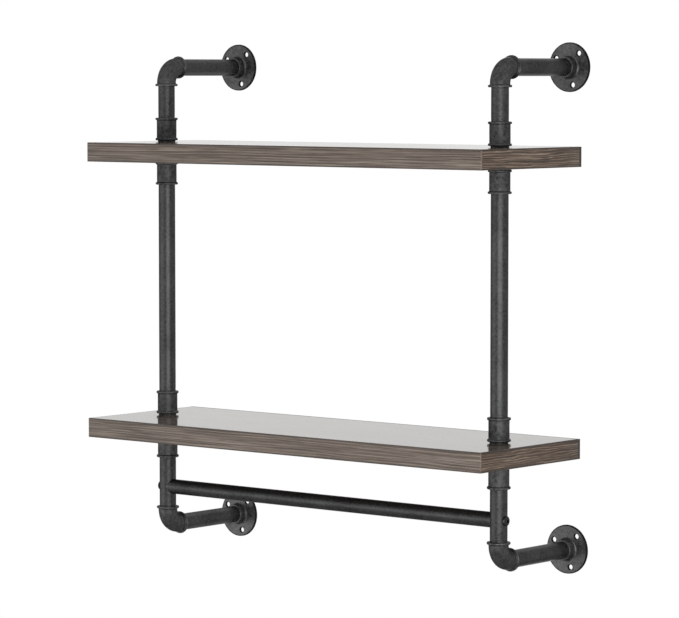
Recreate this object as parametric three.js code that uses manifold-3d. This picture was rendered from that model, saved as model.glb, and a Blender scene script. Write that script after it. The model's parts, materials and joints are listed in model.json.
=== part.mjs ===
// Wall shelving unit: two laminated boards clamped on black pipe posts, with a towel bar underneath.
// Millimetres. +X runs along the boards to the right, +Y points into the wall, +Z is up.
// The origin lies in the wall plane, midway between the four flanges.
import * as THREE from 'three';
import { mergeVertices } from 'three/addons/utils/BufferGeometryUtils.js';
import Module from 'manifold-3d';

const wasm = await Module();
wasm.setup();

// Boards
const boardLength = 609.6;
const boardDepth = 191.4;
const boardThickness = 23.6;
const edgeBandThickness = 2; // along the front and the two ends
const backBandThickness = 4.2;
const sheetThickness = 0.8; // laminate on the top and on the underside
const glueLine = 0.1;
const postInset = 45.65; // from a board's end to the post axis
const postFromFront = 94.7; // from a board's front edge to the post axis
const postHoleClearance = 0.3;

// Pipes: the lengths are what shows between the fittings, without the threaded ends
const pipeRadius = 10.3;
const upperPipeLength = 39;
const middlePipeLength = 257.4;
const lowerPipeLength = 61.3;
const armLength = 100.2;
const threadCut = 0.5; // how much slimmer a threaded end is
const threadWall = 1.9;
const threadLength = 11;
const threadClearance = 0.3;
const threadRunout = 0.6; // room past the end of a screwed-in pipe

// Couplings, from the lip that bears on the board to the mouth that takes the pipe
const couplingMiddle = 7.7; // between the ends of the two pipes screwed in
const couplingWall = 2.2;
const lipLength = 1.7;
const lipWall = 0.9;

// Beads round the mouths of couplings and elbows
const beadThickness = 3;
const beadWall = 3.8; // from the bore to the crest of the bead
const beadRound = 0.8;

// Elbows
const elbowCore = 12.2; // from the corner to the end of a screwed-in pipe
const elbowSocketLength = 1.2; // plain stretch between the bead and the bend
const elbowWall = 1.7;
const elbowPassageClearance = 0.3;

// Flanges
const screwCircleRadius = 21.4;
const screwCircleMargin = 7.8; // from the screw circle out to the flange's rim
const screwHoleAngles = [50, 151.5, 284]; // degrees, anticlockwise seen from the front
const screwHoleRadius = 3;
const countersinkDepth = 0.8;
const flangeThickness = 2.8;
const flangeEdgeRound = 0.7;
const hubBackRoom = 2; // from the end of the screwed-in arm to the wall
const hubWall = 2.1;
const hubTaper = 0.7;
const hubFillet = 1.3;
const hubChamfer = 0.6;

// Towel bar, its plugs and its screws
const barRise = 24.8; // from the lower elbow's mouth up to the bar's axis
const barRadius = 9.15;
const barWall = 1.2;
const barEndClearance = 0.3; // between the hollowed end and the post
const plugClearance = 0.3;
const plugLength = 16;
const plugInset = 2; // from the hollow of the bar's end to the plug
const screwHeadRadius = 6;
const screwHeadHeight = 2.9;
const screwHeadEdge = 0.7; // straight part of the head's rim
const screwShankRadius = 2.9;
const screwShankClearance = 0.3;
const screwSeatGap = 0.1;
const screwThreadInPlug = 12;
const screwSocketRadius = 2.3; // to the hexagon's corners
const screwSocketDepth = 1.5;

// Facets of the round surfaces
const roundSegments = 16;
const bendSegments = 6;
const holeSegments = 16;
const hexSides = 6;
const domeSteps = 3;

const quarterTurn = Math.PI / 2;
const cutOverrun = 1; // how far a cutting tool runs past the surface that it cuts
const weldTolerance = 1e-4;

// Radii that follow from the pipe
const threadRadius = pipeRadius - threadCut;
const pipeBore = threadRadius - threadWall;
const fittingBore = threadRadius + threadClearance;
const lipRadius = fittingBore + lipWall;
const couplingRadius = fittingBore + couplingWall;
const beadRadius = fittingBore + beadWall;
const elbowRadius = fittingBore + elbowWall;
const elbowPassage = pipeBore + elbowPassageClearance;
const hubMouthRadius = fittingBore + hubWall;
const hubBaseRadius = hubMouthRadius + hubTaper;
const flangeRadius = screwCircleRadius + screwCircleMargin;

// Lengths of the fittings that follow from the thread that they take
const couplingLength = 2 * threadLength + couplingMiddle;
const elbowCentreToFace = threadLength + elbowCore;
const elbowBend = elbowCentreToFace - beadThickness - elbowSocketLength; // of the centre line
const hubHeight = threadLength + hubBackRoom;

// Places that follow from the lengths of what is screwed together
const postX = boardLength / 2 - postInset;
const postReach = hubHeight + armLength + elbowCentreToFace;
const boardFront = -postReach - postFromFront;
const boardBack = boardFront + boardDepth;
const pipeLengths = upperPipeLength + middlePipeLength + lowerPipeLength;
const flangeSpacing = 2 * elbowCentreToFace + pipeLengths + 4 * couplingLength + 2 * boardThickness;
const upperArmHeight = flangeSpacing / 2;
const lowerArmHeight = -flangeSpacing / 2;
const upperPipeBottom = upperArmHeight - elbowCentreToFace - upperPipeLength;
const upperBoardTop = upperPipeBottom - couplingLength;
const middlePipeBottom = upperBoardTop - boardThickness - couplingLength - middlePipeLength;
const lowerBoardTop = middlePipeBottom - couplingLength;
const lowerPipeBottom = lowerArmHeight + elbowCentreToFace;
const sides = [{ name: 'left', sign: -1 }, { name: 'right', sign: 1 }];

const finishes = {
  blackPipe: { color: 0x3a3b3d, roughness: 0.55, metalness: 0.6 },
  blackCasting: { color: 0x36373a, roughness: 0.65, metalness: 0.55 },
  blackScrew: { color: 0x1d1e20, roughness: 0.35, metalness: 0.8 },
  zincPlug: { color: 0xa9abad, roughness: 0.4, metalness: 0.9 },
  boardCore: { color: 0xa88c68, roughness: 0.9, metalness: 0 },
  glossSheet: { color: 0x6f645c, roughness: 0.12, metalness: 0 },
  backingSheet: { color: 0x665b53, roughness: 0.5, metalness: 0 },
  woodBand: { color: 0x62564e, roughness: 0.55, metalness: 0 },
};

// Geometry helpers

// A solid turned about Z. The section's points are [radius, height], from the axis upwards back to it.
function turnedSolid(section) {
  const points = section.map(([radius, height]) => new THREE.Vector2(radius, height));
  return new THREE.LatheGeometry(points, roundSegments).rotateX(quarterTurn);
}

// A ring-shaped solid turned about Z, from the points of its section, anticlockwise.
function turnedRing(section) {
  return turnedSolid([...section, section[0]]);
}

// A round bar along Z from one height to another; it may taper.
function roundBar(bottomRadius, topRadius, bottom, top, segments = roundSegments) {
  const bar = new THREE.CylinderGeometry(topRadius, bottomRadius, top - bottom, segments);
  return bar.rotateX(quarterTurn).translate(0, 0, (bottom + top) / 2);
}

function toSolid(geometry) {
  const bare = geometry.clone();
  bare.deleteAttribute('normal');
  bare.deleteAttribute('uv');
  const welded = mergeVertices(bare, weldTolerance);
  return new wasm.Manifold(new wasm.Mesh({
    numProp: 3,
    vertProperties: new Float32Array(welded.attributes.position.array),
    triVerts: new Uint32Array(welded.index.array),
  }));
}

function toGeometry(solid) {
  const mesh = solid.getMesh();
  const geometry = new THREE.BufferGeometry();
  geometry.setAttribute('position', new THREE.BufferAttribute(mesh.vertProperties, 3));
  geometry.setIndex(new THREE.BufferAttribute(mesh.triVerts, 1));
  geometry.computeVertexNormals();
  return geometry;
}

function cut(geometry, tools) {
  let solid = toSolid(geometry);
  for (const tool of tools) {
    solid = solid.subtract(toSolid(tool));
  }
  return toGeometry(solid);
}

function join(geometries) {
  let solid = toSolid(geometries[0]);
  for (const geometry of geometries.slice(1)) {
    solid = solid.add(toSolid(geometry));
  }
  return toGeometry(solid);
}

function addPiece(group, name, geometry, finish, position = [0, 0, 0], rotation = [0, 0, 0]) {
  const mesh = new THREE.Mesh(geometry, new THREE.MeshStandardMaterial(finishes[finish]));
  mesh.name = name;
  mesh.position.set(...position);
  mesh.rotation.set(...rotation);
  group.add(mesh);
}

// Pipes

// A pipe whose full-size stretch runs from z = 0 up; its slimmer threaded ends reach past both faces.
function pipeGeometry(bodyLength) {
  return turnedRing([
    [pipeBore, -threadLength],
    [threadRadius, -threadLength],
    [threadRadius, 0],
    [pipeRadius, 0],
    [pipeRadius, bodyLength],
    [threadRadius, bodyLength],
    [threadRadius, bodyLength + threadLength],
    [pipeBore, bodyLength + threadLength],
  ]);
}

// The nipple that passes through a board and joins the couplings above and below it.
function boardNippleGeometry() {
  const reach = boardThickness / 2 + threadLength;
  return turnedRing([
    [pipeBore, -reach],
    [threadRadius, -reach],
    [threadRadius, reach],
    [pipeBore, reach],
  ]);
}

// The lower post pipe with the cross hole for the towel bar's screw.
function drilledPipeGeometry() {
  const reach = pipeRadius + cutOverrun;
  const holeRadius = screwShankRadius + screwShankClearance;
  const drill = roundBar(holeRadius, holeRadius, -reach, reach, holeSegments);
  return cut(pipeGeometry(lowerPipeLength), [drill.rotateY(quarterTurn).translate(0, 0, barRise)]);
}

// Fittings

// The outside of a bead, from its lower to its upper edge, as section points.
function beadPoints(bottom) {
  return [
    [beadRadius - beadRound, bottom],
    [beadRadius, bottom + beadRound],
    [beadRadius, bottom + beadThickness - beadRound],
    [beadRadius - beadRound, bottom + beadThickness],
  ];
}

// A coupling with its lip at z = 0, on the board, and its mouth at the top.
function couplingGeometry() {
  return turnedRing([
    [fittingBore, 0],
    [lipRadius, 0],
    [lipRadius, lipLength],
    ...beadPoints(lipLength),
    [couplingRadius, lipLength + beadThickness],
    [couplingRadius, couplingLength - beadThickness],
    ...beadPoints(couplingLength - beadThickness),
    [fittingBore, couplingLength],
  ]);
}

// The centre line of an elbow's bend, from the post leg below to the arm leg behind.
class BendLine extends THREE.Curve {
  getPoint(t, target = new THREE.Vector3()) {
    const angle = t * quarterTurn;
    const back = elbowBend * (1 - Math.cos(angle));
    const down = elbowBend * (1 - Math.sin(angle));
    return target.set(0, back, -down);
  }
}

// A round bar bent along the elbow's centre line.
function bentBar(radius) {
  const section = new THREE.Shape();
  section.absarc(0, 0, radius, 0, Math.PI * 2);
  return new THREE.ExtrudeGeometry(section, {
    steps: bendSegments,
    curveSegments: roundSegments / 2,
    extrudePath: new BendLine(),
  });
}

// Turns a shape that hangs down along -Z into the same shape along +Y.
function towardsWall(geometry) {
  return geometry.rotateX(quarterTurn);
}

// An elbow whose corner, where the two axes cross, is the origin.
// One leg points down to the post pipe, the other back to the arm.
function elbowGeometry() {
  const socketBottom = cutOverrun - elbowCentreToFace;
  const socket = () => roundBar(elbowRadius, elbowRadius, socketBottom, cutOverrun - elbowBend);
  const bead = () => turnedSolid([
    [0, -elbowCentreToFace],
    ...beadPoints(-elbowCentreToFace),
    [0, beadThickness - elbowCentreToFace],
  ]);
  const boreTop = threadLength + threadRunout - elbowCentreToFace;
  const bore = () => roundBar(fittingBore, fittingBore, -elbowCentreToFace - cutOverrun, boreTop);
  const legs = [socket(), bead(), towardsWall(socket()), towardsWall(bead())];
  const bores = [bore(), towardsWall(bore())];
  return cut(join([bentBar(elbowRadius), ...legs]), [bentBar(elbowPassage), ...bores]);
}

// A flange with its back at z = 0 and its threaded hub standing up.
function flangeGeometry() {
  const plate = turnedRing([
    [fittingBore, 0],
    [flangeRadius, 0],
    [flangeRadius, flangeThickness - flangeEdgeRound],
    [flangeRadius - flangeEdgeRound, flangeThickness],
    [hubBaseRadius + hubFillet, flangeThickness],
    [hubBaseRadius, flangeThickness + hubFillet],
    [hubMouthRadius, hubHeight - hubChamfer],
    [hubMouthRadius - hubChamfer, hubHeight],
    [fittingBore, hubHeight],
  ]);
  const tools = screwHoleAngles.map((angle) => {
    const turn = THREE.MathUtils.degToRad(angle);
    const top = flangeThickness + cutOverrun;
    const drill = roundBar(screwHoleRadius, screwHoleRadius, -cutOverrun, top, holeSegments);
    const coneBottom = flangeThickness - countersinkDepth;
    const coneRadius = screwHoleRadius + countersinkDepth + cutOverrun;
    const cone = roundBar(screwHoleRadius, coneRadius, coneBottom, top, holeSegments);
    const x = screwCircleRadius * Math.cos(turn);
    const y = screwCircleRadius * Math.sin(turn);
    return join([drill, cone]).translate(x, y, 0);
  });
  return cut(plate, tools);
}

// Towel bar

// The bar along X, centred, with both ends hollowed to fit round the posts.
function barGeometry() {
  const tube = turnedRing([
    [barRadius - barWall, -postX],
    [barRadius, -postX],
    [barRadius, postX],
    [barRadius - barWall, postX],
  ]).rotateY(quarterTurn);
  const reach = barRadius + cutOverrun;
  const hollow = pipeRadius + barEndClearance;
  const tools = sides.map(({ sign }) => (
    roundBar(hollow, hollow, -reach, reach).translate(sign * postX, 0, 0)
  ));
  return cut(tube, tools);
}

// A threaded plug along Z, from z = 0 up.
function plugGeometry() {
  const outside = barRadius - barWall - plugClearance;
  const bore = screwShankRadius + threadClearance;
  return turnedRing([
    [bore, 0],
    [outside, 0],
    [outside, plugLength],
    [bore, plugLength],
  ]);
}

// A button-head screw along Z: head below z = 0, shank above, hexagon socket in the dome.
function screwGeometry() {
  const toPlug = 2 * pipeRadius + screwSeatGap + barEndClearance + plugInset;
  const shankLength = toPlug + screwThreadInPlug;
  const domeHeight = screwHeadHeight - screwHeadEdge;
  const section = [];
  for (let step = 0; step <= domeSteps; step += 1) {
    const turn = quarterTurn * step / domeSteps;
    section.push([screwHeadRadius * Math.sin(turn), -screwHeadEdge - domeHeight * Math.cos(turn)]);
  }
  section.push(
    [screwHeadRadius, 0],
    [screwShankRadius, 0],
    [screwShankRadius, shankLength],
    [0, shankLength],
  );
  const socketFloor = screwSocketDepth - screwHeadHeight;
  const socket = roundBar(
    screwSocketRadius, screwSocketRadius, -screwHeadHeight - cutOverrun, socketFloor, hexSides,
  );
  return cut(turnedSolid(section), [socket]);
}

// Boards

// A plain slab between two corners.
function slabGeometry(low, high) {
  const size = low.map((value, axis) => high[axis] - value);
  const middle = low.map((value, axis) => (high[axis] + value) / 2);
  return new THREE.BoxGeometry(...size).translate(...middle);
}

// A slab with the two holes that the post nipples pass through.
function drilledSlabGeometry(low, high) {
  const holeRadius = threadRadius + postHoleClearance;
  const bottom = low[2] - cutOverrun;
  const top = high[2] + cutOverrun;
  const tools = sides.map(({ sign }) => (
    roundBar(holeRadius, holeRadius, bottom, top).translate(sign * postX, -postReach, 0)
  ));
  return cut(slabGeometry(low, high), tools);
}

// One board: core, top and bottom sheets, and a band on each edge, the thickest at the back.
// Its top lies at z = 0.
function makeBoard(tier) {
  const board = new THREE.Group();
  const end = boardLength / 2;
  const bottom = -boardThickness;
  const band = edgeBandThickness;
  const innerEnd = end - band - glueLine;
  const innerFront = boardFront + band + glueLine;
  const innerBack = boardBack - backBandThickness - glueLine;
  const coreTop = -sheetThickness - glueLine;
  const coreBottom = bottom + sheetThickness + glueLine;
  const drilled = {
    core: [coreBottom, coreTop, 'boardCore'],
    top_sheet: [-sheetThickness, 0, 'glossSheet'],
    bottom_sheet: [bottom, bottom + sheetThickness, 'backingSheet'],
  };
  for (const [name, [low, high, finish]] of Object.entries(drilled)) {
    const geometry = drilledSlabGeometry([-innerEnd, innerFront, low], [innerEnd, innerBack, high]);
    addPiece(board, `${tier}_board_${name}`, geometry, finish);
  }
  const bands = {
    front: [[-end, boardFront, bottom], [end, boardFront + band, 0]],
    back: [[-end, boardBack - backBandThickness, bottom], [end, boardBack, 0]],
    left: [[-end, innerFront, bottom], [band - end, innerBack, 0]],
    right: [[end - band, innerFront, bottom], [end, innerBack, 0]],
  };
  for (const [name, corners] of Object.entries(bands)) {
    addPiece(board, `${tier}_board_${name}_band`, slabGeometry(...corners), 'woodBand');
  }
  return board;
}

// A flange on the wall, its arm, and the elbow that turns the arm into the post
function makeArm(name, elbowTurn) {
  const arm = new THREE.Group();
  const outOfWall = [quarterTurn, 0, 0];
  const corner = [0, -postReach, 0];
  addPiece(arm, `${name}_flange`, flangeGeometry(), 'blackCasting', [0, 0, 0], outOfWall);
  addPiece(arm, `${name}_arm`, pipeGeometry(armLength), 'blackPipe', [0, -hubHeight, 0], outOfWall);
  addPiece(arm, `${name}_elbow`, elbowGeometry(), 'blackCasting', corner, [0, elbowTurn, 0]);
  return arm;
}

// The two couplings and the nipple that clamp a board, from the board's top at z = 0 down
function makeClamp(name) {
  const clamp = new THREE.Group();
  const underside = [0, 0, -boardThickness];
  const upsideDown = [Math.PI, 0, 0];
  addPiece(clamp, `${name}_top_coupling`, couplingGeometry(), 'blackCasting');
  addPiece(clamp, `${name}_bottom_coupling`, couplingGeometry(), 'blackCasting', underside, upsideDown);
  addPiece(clamp, `${name}_nipple`, boardNippleGeometry(), 'blackPipe', [0, 0, -boardThickness / 2]);
  return clamp;
}

// One side: two arms, and the post with its pipes and board clamps
function makeSide(name) {
  const side = new THREE.Group();
  const upperArm = makeArm(`${name}_upper`, 0);
  upperArm.position.z = upperArmHeight;
  const lowerArm = makeArm(`${name}_lower`, Math.PI);
  lowerArm.position.z = lowerArmHeight;

  const post = new THREE.Group();
  post.position.y = -postReach;
  const pipes = {
    upper: [pipeGeometry(upperPipeLength), upperPipeBottom],
    middle: [pipeGeometry(middlePipeLength), middlePipeBottom],
    lower: [drilledPipeGeometry(), lowerPipeBottom],
  };
  for (const [level, [geometry, bottom]] of Object.entries(pipes)) {
    addPiece(post, `${name}_${level}_post_pipe`, geometry, 'blackPipe', [0, 0, bottom]);
  }
  const upperClamp = makeClamp(`${name}_upper_board`);
  upperClamp.position.z = upperBoardTop;
  const lowerClamp = makeClamp(`${name}_lower_board`);
  lowerClamp.position.z = lowerBoardTop;
  post.add(upperClamp, lowerClamp);

  side.add(upperArm, lowerArm, post);
  return side;
}

// The towel bar with a plug in each end and a screw through each post
function makeTowelBar() {
  const bar = new THREE.Group();
  addPiece(bar, 'towel_bar', barGeometry(), 'blackPipe');
  const plugX = postX - pipeRadius - barEndClearance - plugInset;
  const seatX = postX + pipeRadius + screwSeatGap;
  for (const { name, sign } of sides) {
    const inwards = [0, -sign * quarterTurn, 0];
    addPiece(bar, `${name}_bar_plug`, plugGeometry(), 'zincPlug', [sign * plugX, 0, 0], inwards);
    addPiece(bar, `${name}_bar_screw`, screwGeometry(), 'blackScrew', [sign * seatX, 0, 0], inwards);
  }
  return bar;
}

const shelf = new THREE.Group();
for (const { name, sign } of sides) {
  const side = makeSide(name);
  side.position.x = sign * postX;
  shelf.add(side);
}
const upperBoard = makeBoard('upper');
upperBoard.position.z = upperBoardTop;
const lowerBoard = makeBoard('lower');
lowerBoard.position.z = lowerBoardTop;
const towelBar = makeTowelBar();
towelBar.position.set(0, -postReach, lowerPipeBottom + barRise);
shelf.add(upperBoard, lowerBoard, towelBar);

export default shelf;
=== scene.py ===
import json
import math

import bmesh
import bpy
from mathutils import Matrix, Vector, noise


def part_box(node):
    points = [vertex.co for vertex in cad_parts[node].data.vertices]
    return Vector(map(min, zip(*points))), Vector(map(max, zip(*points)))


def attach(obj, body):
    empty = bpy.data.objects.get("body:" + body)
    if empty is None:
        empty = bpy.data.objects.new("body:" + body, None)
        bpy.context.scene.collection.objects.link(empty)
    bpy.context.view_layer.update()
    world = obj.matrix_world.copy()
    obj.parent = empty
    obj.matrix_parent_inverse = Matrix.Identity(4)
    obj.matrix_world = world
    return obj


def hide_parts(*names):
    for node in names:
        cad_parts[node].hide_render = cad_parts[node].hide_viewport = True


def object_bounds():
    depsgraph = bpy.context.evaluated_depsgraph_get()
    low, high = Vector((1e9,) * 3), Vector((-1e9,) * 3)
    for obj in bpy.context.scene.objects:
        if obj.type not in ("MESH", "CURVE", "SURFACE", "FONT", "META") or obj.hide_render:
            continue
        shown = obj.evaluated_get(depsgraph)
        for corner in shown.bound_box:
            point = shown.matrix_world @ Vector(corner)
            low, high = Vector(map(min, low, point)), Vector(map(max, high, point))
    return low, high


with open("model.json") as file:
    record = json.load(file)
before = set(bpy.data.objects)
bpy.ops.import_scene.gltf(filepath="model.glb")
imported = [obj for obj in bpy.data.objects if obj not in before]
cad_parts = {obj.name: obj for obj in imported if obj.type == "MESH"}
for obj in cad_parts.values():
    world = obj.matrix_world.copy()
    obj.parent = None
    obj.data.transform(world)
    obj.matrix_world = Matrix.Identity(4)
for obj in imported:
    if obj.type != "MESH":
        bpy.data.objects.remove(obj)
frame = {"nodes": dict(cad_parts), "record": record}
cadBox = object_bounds()
sides = ("left", "right")
levels = ("upper", "lower")
quarterTurn = math.pi / 2
fullTurn = math.pi * 2
print("frame loaded:", len(frame["nodes"]), "nodes")


# Camera, fitted to the photo's corners and centre lines

photoCamera = {
    "place": (2.6240, -3.2672, 0.27895),
    "azimuth": 39.75,  # degrees, 0 looks along +Y
    "elevation": 3.96,
    "lens": 181.2,
    "sensorWidth": 36.0,
}


def directionFrom(azimuth, elevation):
    turn = math.radians(azimuth)
    rise = math.radians(elevation)
    flat = math.cos(rise)
    return Vector((math.sin(turn) * flat, -math.cos(turn) * flat, math.sin(rise)))


def makeCamera():
    camera = bpy.data.cameras.new("photo_camera")
    camera.lens = photoCamera["lens"]
    camera.sensor_width = photoCamera["sensorWidth"]
    camera.dof.use_dof = False
    holder = bpy.data.objects.new("photo_camera", camera)
    holder.location = photoCamera["place"]
    back = directionFrom(photoCamera["azimuth"], photoCamera["elevation"])
    holder.rotation_euler = (-back).to_track_quat("-Z", "Y").to_euler()
    bpy.context.collection.objects.link(holder)
    bpy.context.scene.camera = holder


makeCamera()
print("camera set")


# Mesh helpers

meshing = {
    "weld": 0.000003,
    "arcSteps": 5,
    "sharpAngle": 38,  # degrees between two faces, above which their edge stays hard
    "reliefNoise": (1.0, 2.0, 3),  # falloff, lacunarity and octaves
}


def newPiece(name, mesh):
    piece = bpy.data.objects.new(name, mesh)
    bpy.context.collection.objects.link(piece)
    return piece


def loftMesh(name, rings, capped=False):
    # skins rings of equal point counts; without caps the last ring joins the first one again
    around = len(rings[0])
    faces = []
    last = len(rings) - 1 if capped else len(rings)
    for row in range(last):
        here = row * around
        there = (row + 1) % len(rings) * around
        for column in range(around):
            turn = (column + 1) % around
            faces.append((here + column, here + turn, there + turn, there + column))
    if capped:
        faces.append(tuple(reversed(range(around))))
        faces.append(tuple(range((len(rings) - 1) * around, len(rings) * around)))
    mesh = bpy.data.meshes.new(name)
    mesh.from_pydata([point for ring in rings for point in ring], [], faces)
    faceOutwards(mesh)
    return mesh


def faceOutwards(mesh):
    work = bmesh.new()
    work.from_mesh(mesh)
    bmesh.ops.recalc_face_normals(work, faces=work.faces)
    work.to_mesh(mesh)
    work.free()


def straightSpine(distance):
    return Vector((0, 0, distance)), Vector((1, 0, 0)), Vector((0, 1, 0))


def ringAt(spine, distance, radius, around):
    centre, across, up = spine(distance)
    ring = []
    for step in range(around):
        turn = fullTurn * step / around
        ring.append(centre + across * (radius * math.cos(turn)) + up * (radius * math.sin(turn)))
    return ring


def roundedOutline(corners):
    # corners are (radius, height, rounding); each rounded one becomes an arc
    steps = meshing["arcSteps"]
    outline = []
    for index, (radius, height, rounding) in enumerate(corners):
        corner = Vector((radius, height))
        if rounding <= 0:
            outline.append(corner)
            continue
        before = Vector(corners[index - 1][:2]) - corner
        after = Vector(corners[(index + 1) % len(corners)][:2]) - corner
        before.normalize()
        after.normalize()
        half = before.angle(after) / 2
        centre = corner + (before + after).normalized() * (rounding / math.sin(half))
        first = corner + before * (rounding / math.tan(half)) - centre
        second = corner + after * (rounding / math.tan(half)) - centre
        for step in range(steps + 1):
            share = step / steps
            outline.append(centre + first.lerp(second, share).normalized() * rounding)
    return outline


def closeSpaced(outline, longest):
    # adds points where two neighbours are further apart than the longest step
    spaced = []
    for index, point in enumerate(outline):
        following = outline[(index + 1) % len(outline)]
        parts = max(1, math.ceil((following - point).length / longest))
        for part in range(parts):
            spaced.append(point.lerp(following, part / parts))
    return spaced


def turnedMesh(name, corners, around, longest):
    outline = closeSpaced(roundedOutline(corners), longest)
    return loftMesh(name, [ringAt(straightSpine, height, radius, around) for radius, height in outline])


def barMesh(name, radius, bottom, top, around, topRadius=None):
    ends = [ringAt(straightSpine, bottom, radius, around)]
    ends.append(ringAt(straightSpine, top, radius if topRadius is None else topRadius, around))
    return loftMesh(name, ends, capped=True)


def cutAway(mesh, cutterMeshes):
    # takes the cutters out of the mesh and gives back the new mesh
    body = newPiece("body_to_cut", mesh)
    cutters = [newPiece("cutter", cutter) for cutter in cutterMeshes]
    for cutter in cutters:
        modifier = body.modifiers.new("cut", "BOOLEAN")
        modifier.operation = "DIFFERENCE"
        modifier.solver = "EXACT"
        modifier.object = cutter
    bpy.context.view_layer.update()
    ready = body.evaluated_get(bpy.context.evaluated_depsgraph_get())
    result = bpy.data.meshes.new_from_object(ready)
    for leftover in [body, *cutters]:
        bpy.data.objects.remove(leftover)
    weldSlivers(result)
    return result


def weldSlivers(mesh):
    # a cut leaves points that all but touch; these become one
    work = bmesh.new()
    work.from_mesh(mesh)
    bmesh.ops.remove_doubles(work, verts=work.verts, dist=meshing["weld"])
    bmesh.ops.dissolve_degenerate(work, edges=work.edges, dist=meshing["weld"])
    work.to_mesh(mesh)
    work.free()


def roughened(mesh, relief, shift, flatUpTo=None):
    # a copy whose skin is pressed in by an uneven depth, as sand casting leaves it
    rough = mesh.copy()
    normals = [vertex.normal.copy() for vertex in rough.vertices]
    for vertex, normal in zip(rough.vertices, normals):
        if flatUpTo is not None and vertex.co.z <= flatUpTo:
            continue
        wave = noise.fractal((vertex.co + shift) / relief["patch"], *meshing["reliefNoise"])
        vertex.co -= normal * (relief["depth"] * min(1.0, max(0.0, 0.5 + 0.5 * wave)))
    return rough


def dress(name, mesh, matrix, material, node, sharpAngle=meshing["sharpAngle"]):
    # puts a finished mesh where its node is and hands it to the frame
    mesh = mesh.copy()
    mesh.name = name
    mesh.transform(matrix)
    mesh.shade_smooth()
    mesh.set_sharp_from_angle(angle=math.radians(sharpAngle))
    mesh.materials.clear()
    mesh.materials.append(material)
    piece = newPiece(name, mesh)
    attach(piece, "root")
    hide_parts(node)


def middleOf(node):
    low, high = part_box(node)
    return (low + high) / 2


# Material helpers

def srgb(red, green, blue):
    # 0 to 255 as seen on screen, to the linear values that Blender keeps, by the standard curve
    linear = []
    for value in (red, green, blue):
        share = value / 255
        linear.append(share / 12.92 if share <= 0.04045 else ((share + 0.055) / 1.055) ** 2.4)
    return (*linear, 1.0)


def addNode(tree, kind, inputs=None, **settings):
    node = tree.nodes.new(kind)
    for key, value in settings.items():
        setattr(node, key, value)
    for key, value in (inputs or {}).items():
        if isinstance(value, bpy.types.NodeSocket):
            tree.links.new(value, node.inputs[key])
        else:
            node.inputs[key].default_value = value
    return node


def newMaterial(name):
    material = bpy.data.materials.new(name)
    material.use_nodes = True
    tree = material.node_tree
    return material, tree, tree.nodes["Principled BSDF"]


def colourRamp(tree, factor, places, colours):
    ramp = addNode(tree, "ShaderNodeValToRGB", {"Fac": factor})
    elements = ramp.color_ramp.elements
    while len(elements) < len(colours):
        elements.new(0.5)  # anywhere, as the stops are placed next
    for element, place, colour in zip(elements, places, colours):
        element.position = place
        element.color = colour
    return ramp.outputs["Color"]


def addBump(tree, shader, height, depth):
    bump = addNode(tree, "ShaderNodeBump", {"Height": height, "Distance": depth})
    tree.links.new(bump.outputs["Normal"], shader.inputs["Normal"])


def rangeOf(tree, value, fromLow, fromHigh, toLow, toHigh):
    inputs = {
        "Value": value,
        "From Min": fromLow,
        "From Max": fromHigh,
        "To Min": toLow,
        "To Max": toHigh,
    }
    return addNode(tree, "ShaderNodeMapRange", inputs, clamp=True).outputs["Result"]


def mathOf(tree, operation, first, second=0.0):
    return addNode(tree, "ShaderNodeMath", {0: first, 1: second}, operation=operation).outputs[0]


def sumOfShares(tree, *parts):
    # each part is a value and its share
    total = None
    for value, share in parts:
        term = mathOf(tree, "MULTIPLY", value, share)
        total = term if total is None else mathOf(tree, "ADD", total, term)
    return total


def noiseOf(tree, vector, scale, detail, roughness, distortion=0.0):
    inputs = {
        "Vector": vector,
        "Scale": scale,
        "Detail": detail,
        "Roughness": roughness,
        "Distortion": distortion,
    }
    return addNode(tree, "ShaderNodeTexNoise", inputs).outputs["Fac"]


def mixColour(tree, factor, first, second):
    mix = addNode(tree, "ShaderNodeMix", data_type="RGBA", blend_type="MIX", clamp_factor=True)
    for socket, value in (("Factor_Float", factor), ("A_Color", first), ("B_Color", second)):
        target = next(item for item in mix.inputs if item.identifier == socket)
        if isinstance(value, bpy.types.NodeSocket):
            tree.links.new(value, target)
        else:
            target.default_value = value
    return next(item for item in mix.outputs if item.identifier == "Result_Color")


def shiftedCoordinates(tree):
    # object coordinates, moved by a random amount so that no two pieces match
    place = addNode(tree, "ShaderNodeTexCoord").outputs["Object"]
    random = addNode(tree, "ShaderNodeObjectInfo").outputs["Random"]
    inputs = {0: place, 1: random}
    return addNode(tree, "ShaderNodeVectorMath", inputs, operation="ADD").outputs["Vector"]


# Black finishes: first what they share, then each one's own values

coating = {
    "mottleNoise": (4.0, 0.6, 0.4),  # detail, roughness and distortion
    "grainNoise": (2.0, 0.5),
    "cloudNoise": (2.0, 0.5),
    "mottleShare": 0.7,  # of the surface
    "grainShare": 0.3,
    "surfaceShare": 0.75,  # of the tone
    "cloudShare": 0.25,
    "tones": (0.36, 0.64),  # where the colour is dark and where it is light
    "crests": (0.508, 0.55),  # pointiness, where the wear and painted highlight begin and are full
    "wornAndHighlightMottle": (0.4, 0.6),
    "wornAndHighlightLeast": 0.2,  # share of the wear and painted highlight that the mottle always lets through
    "opennessSamples": 8,
    "openness": (0.45, 0.85),  # occlusion, where the painted recess shade is full and where it ends
    "sheens": (0.35, 0.65),  # where the surface is smooth and where it is rough
    "black": (0.0, 0.0, 0.0, 1.0),
}

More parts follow.
